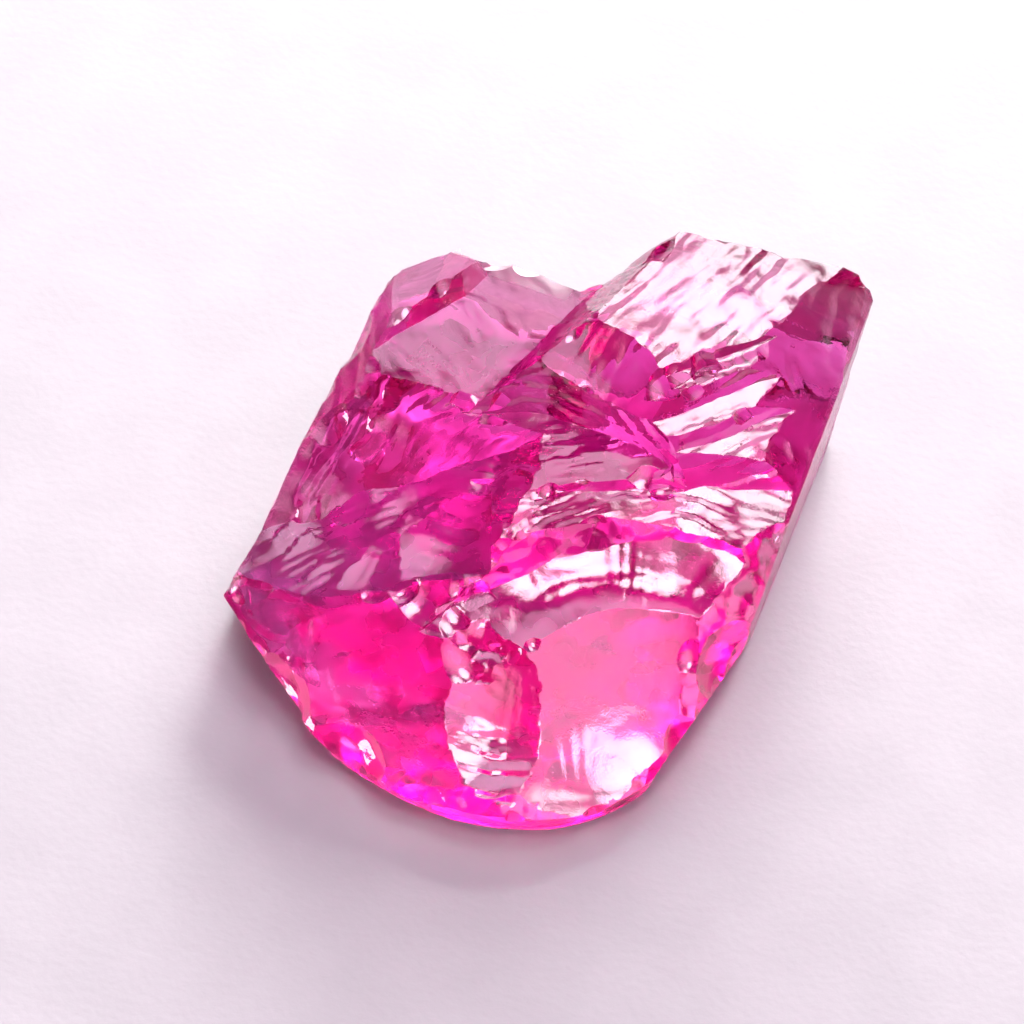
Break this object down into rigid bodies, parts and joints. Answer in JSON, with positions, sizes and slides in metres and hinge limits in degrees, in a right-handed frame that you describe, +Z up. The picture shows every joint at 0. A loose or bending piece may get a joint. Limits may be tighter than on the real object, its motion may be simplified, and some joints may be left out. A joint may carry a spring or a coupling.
{
  "type": "raw zircon",
  "caption": "Rough broken crystal, clear deep pink, with flat growth flanks, a raised block, a hollow, stepped ledges and a rounded front; a loose stone that rests on its flat base",
  "frame": {"origin": "on the flat face that the stone rests on, about under its middle", "axes": "+Z up, away from the resting face; +Y along the crystal, towards the high back end; +X towards the right flank"},
  "size_m": [0.0277, 0.0358, 0.0147],
  "materials": {
    "zircon": "clear deep pink crystal, adamantine lustre, absorbing green and blue with depth"
  },
  "bodies": {
    "root": {"raw_zircon": "zircon"}
  },
  "joints": []
}
